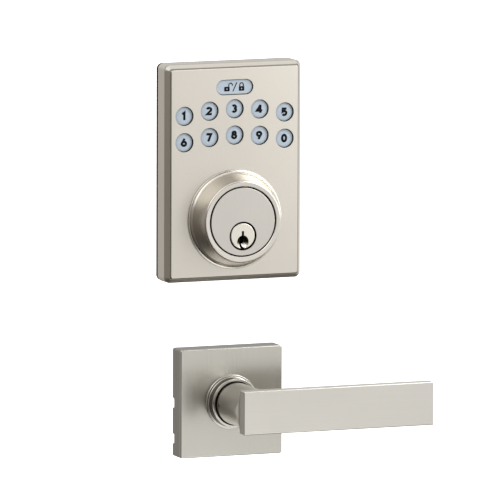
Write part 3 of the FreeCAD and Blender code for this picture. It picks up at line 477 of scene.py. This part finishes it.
def print_figures():
    """Each figure on its own key."""
    size = FIGURE_HEIGHT - FIGURE_STROKE
    for figure, strokes in FIGURES.items():
        shapes = [ribbon([(x * size * FIGURE_WIDENING, z * size) for x, z in stroke], FIGURE_STROKE)
                  for stroke in strokes]
        print_on("figure_" + figure, "key_" + figure, shapes)


def padlock(centre_x, shackle_x, left_end, right_end):
    """A padlock's body with its keyhole, and a shackle whose two legs end at given heights."""
    low, corner = -PADLOCK_H / 2 - 1.0 * MM, 0.4 * MM
    high, half = low + PADLOCK_H, PADLOCK_W / 2
    body = []
    for side_x, side_z, start in ((1, 1, 0), (-1, 1, 90), (-1, -1, 180), (1, -1, 270)):
        x = centre_x + side_x * (half - corner)
        z = (high - corner) if side_z > 0 else (low + corner)
        body += arc(x, z, corner, start, start + 90, 4)
    keyhole = arc(centre_x, (low + high) / 2, 0.38 * MM, 0, 345)
    radius = half - 0.25 * MM - SHACKLE_T / 2
    bend = arc(shackle_x, high + SHACKLE_BEND, radius, 180, 0)
    shackle = [(shackle_x - radius, high + left_end), *bend, (shackle_x + radius, high + right_end)]
    return [[body, keyhole], ribbon(shackle, SHACKLE_T)]


def print_lock_icons():
    """An open padlock, a stroke and a closed padlock."""
    overlap = -0.2 * MM
    swing = PADLOCK_W - 0.5 * MM - SHACKLE_T
    shapes = padlock(ICON_X, ICON_X, overlap, overlap)
    shapes += padlock(-ICON_X, -ICON_X + swing, overlap, 0.5 * MM)
    shapes.append(ribbon([(-0.8 * MM, -2.4 * MM), (1.5 * MM, 2.5 * MM)], SHACKLE_T))
    print_on("lock_icons", "key_lock", shapes)


# ---- Soft pieces that stand in for CAD nodes ----------------------------------------------------------

MAT_SHEET_T = 0.9 * MM  # the silicone mat without its domes
DOME_REACH = 5.0 * MM  # a dome lies within this of its key's axis
WELD = 0.001 * MM  # points nearer than this are one point


def mat_front():
    """Where the front face of the mat's sheet lies."""
    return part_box("keypad_mat")[1][1] - MAT_SHEET_T


def part_of_mat(side):
    """The silicone mat on one side, -1 in front and 1 behind, of its sheet's front face."""
    front = mat_front()
    shape = bmesh.new()
    shape.from_mesh(NODES["keypad_mat"].data)
    bmesh.ops.remove_doubles(shape, verts=shape.verts, dist=WELD)
    everything = shape.verts[:] + shape.edges[:] + shape.faces[:]
    bmesh.ops.bisect_plane(shape, geom=everything, dist=WELD, plane_co=(0, front, 0),
                           plane_no=(0, -side, 0), clear_outer=True)
    if side < 0:
        flat = [f for f in shape.faces if all(abs(v.co.y - front) < 2 * WELD for v in f.verts)]
        bmesh.ops.delete(shape, geom=flat, context="FACES")
    return shape


def close_cut(shape):
    """Fills the flat face that a cut has left open."""
    edges = [e for e in shape.edges if e.is_boundary]
    bmesh.ops.triangle_fill(shape, use_beauty=True, edges=edges)
    bmesh.ops.recalc_face_normals(shape, faces=shape.faces)


def add_soft_piece(name, shape, node, slot, body):
    """A piece that stands for a CAD node, or for part of one, and rides on a body."""
    mesh = bpy.data.meshes.new(name)
    shape.to_mesh(mesh)
    shape.free()
    mesh.materials.append(FINISHES[slot])
    piece = bpy.data.objects.new(name, mesh)
    bpy.context.scene.collection.objects.link(piece)
    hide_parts(node)
    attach(piece, body)
    return piece


def add_mat():
    """The silicone mat's sheet, and a dome behind each key, each as its own piece."""
    sheet = part_of_mat(1)
    close_cut(sheet)
    add_soft_piece("mat_sheet", sheet, "keypad_mat", "silicone", "root")
    for key in ["key_" + figure for figure in FIGURES] + ["key_lock"]:
        spot = middle_of(key)
        dome = part_of_mat(-1)
        others = [v for v in dome.verts if math.hypot(v.co.x - spot.x, v.co.z - spot.z) > DOME_REACH]
        bmesh.ops.delete(dome, geom=others, context="VERTS")
        close_cut(dome)
        piece = add_soft_piece("mat_dome_" + key[4:], dome, "keypad_mat", "silicone", "root")
        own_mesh(piece)


def add_catch_spring():
    """The catch's spring, as its own piece riding on the lever."""
    shape = bmesh.new()
    shape.from_mesh(NODES["catch_spring"].data)
    piece = add_soft_piece("catch_coil", shape, "catch_spring", "spring_wire", "lever")
    anchor = middle_of("catch_spring")
    anchor.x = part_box("catch_spring")[1][0]
    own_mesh(piece)


# ---- Studio -------------------------------------------------------------------------------------------
def view_axes(azimuth, elevation):
    """The picture's right, up and backward directions for a view."""
    a, e = math.radians(azimuth), math.radians(elevation)
    back = Vector((math.sin(a) * math.cos(e), -math.cos(a) * math.cos(e), math.sin(e)))
    right = Vector((0, 0, 1)).cross(back).normalized()
    return right, back.cross(right), back


def add_camera():
    """A long lens, so that the picture is nearly without perspective."""
    right, up, back = view_axes(VIEW_AZIMUTH, VIEW_ELEVATION)
    roll = Matrix.Rotation(math.radians(VIEW_ROLL), 3, back)
    right, up = roll @ right, roll @ up
    data = bpy.data.cameras.new("camera")
    data.sensor_width = SENSOR
    data.lens = SENSOR * CAMERA_DISTANCE / FRAME_WIDTH
    data.clip_end = CLIP_END
    camera = bpy.data.objects.new("camera", data)
    spot = right * AIM_RIGHT + up * AIM_UP + back * CAMERA_DISTANCE
    camera.matrix_world = Matrix.Translation(spot) @ Matrix((right, up, back)).transposed().to_4x4()
    bpy.context.scene.collection.objects.link(camera)
    bpy.context.scene.camera = camera


def add_softbox(name, azimuth, elevation, distance, size, power, target):
    """A rectangular area light aimed at a point."""
    right, up, back = view_axes(azimuth, elevation)
    data = bpy.data.lights.new(name, "AREA")
    data.shape = "RECTANGLE"
    data.size, data.size_y = size
    data.energy = power
    light = bpy.data.objects.new(name, data)
    light.visible_camera = False
    turn = Matrix((right, up, back)).transposed().to_4x4()
    light.matrix_world = Matrix.Translation(target + back * distance) @ turn
    bpy.context.scene.collection.objects.link(light)


def patch(tree, direction, azimuth, elevation, full, gone, strength):
    """How much a soft round patch of light adds towards a direction."""
    dot = tree.nodes.new("ShaderNodeVectorMath")
    dot.operation = "DOT_PRODUCT"
    dot.inputs[1].default_value = view_axes(azimuth, elevation)[2]
    tree.links.new(direction, dot.inputs[0])
    return remap(tree, dot.outputs["Value"], math.cos(math.radians(gone)), math.cos(math.radians(full)),
                 0, strength, True)


def add_world():
    """A grey room with soft patches of light, behind a backdrop that the camera sees as white."""
    world = bpy.data.worlds.new("studio")
    bpy.context.scene.world = world
    world.use_nodes = True
    tree = world.node_tree
    room = tree.nodes["Background"]
    direction = tree.nodes.new("ShaderNodeTexCoord").outputs["Generated"]
    split = tree.nodes.new("ShaderNodeSeparateXYZ")
    tree.links.new(direction, split.inputs[0])
    light = remap(tree, split.outputs[2], -0.5, 0.5, SURROUND_BELOW, SURROUND_ABOVE, True)
    for numbers in PATCHES:
        light = calc(tree, "ADD", light, patch(tree, direction, *numbers))
    tree.links.new(calc(tree, "MAXIMUM", light, DARKEST), room.inputs["Strength"])
    tint = blend_colours(tree, remap(tree, light, DIM, BRIGHT, 0, 1), DIM_TINT, BRIGHT_TINT)
    tree.links.new(tint, room.inputs["Color"])
    white = tree.nodes.new("ShaderNodeBackground")
    white.inputs["Strength"].default_value = BACKDROP_WHITE
    white.inputs["Color"].default_value = (1, 1, 1, 1)
    mix = tree.nodes.new("ShaderNodeMixShader")
    tree.links.new(tree.nodes.new("ShaderNodeLightPath").outputs["Is Camera Ray"], mix.inputs[0])
    tree.links.new(room.outputs[0], mix.inputs[1])
    tree.links.new(white.outputs[0], mix.inputs[2])
    tree.links.new(mix.outputs[0], tree.nodes["World Output"].inputs["Surface"])


def add_studio():
    """The room, and four softboxes aimed at the keypad and the lever."""
    bpy.context.scene.view_settings.view_transform = "Standard"
    add_world()
    panel = middle_of("escutcheon")
    add_softbox("right_light", 48, 30, 0.70, (0.45, 0.45), 2.2, panel + Vector((0.02, 0, 0.03)))
    add_softbox("panel_light", 42, 8, 0.45, (0.26, 0.34), 0.32, panel + Vector((0.04, 0, 0.04)))
    lever = middle_of("rose") + Vector((0, -0.02, 0))
    add_softbox("rose_light", 6, -34, 0.40, (0.28, 0.22), 0.26, lever + Vector((-0.01, 0, -0.02)))
    add_softbox("bevel_light", -73, 26, 0.40, (0.20, 0.20), 0.12, panel + Vector((-0.04, 0, 0.05)))


def add_floor():
    """A plain white floor below the lock."""
    low, _ = CAD_BOX
    mesh = bpy.data.meshes.new("floor")
    shape = bmesh.new()
    bmesh.ops.create_grid(shape, x_segments=2, y_segments=2, size=FLOOR_HALF)
    shape.to_mesh(mesh)
    shape.free()
    mesh.transform(Matrix.Translation((0, 0, low[2] - FLOOR_DROP)))
    mesh.materials.append(studio_white())
    floor = bpy.data.objects.new("floor", mesh)
    floor.visible_glossy = False
    floor.visible_diffuse = False
    bpy.context.scene.collection.objects.link(floor)


finish_nodes()
print_figures()
print_lock_icons()
add_mat()
add_catch_spring()
add_camera()
add_studio()
add_floor()

bpy.context.view_layer.update()
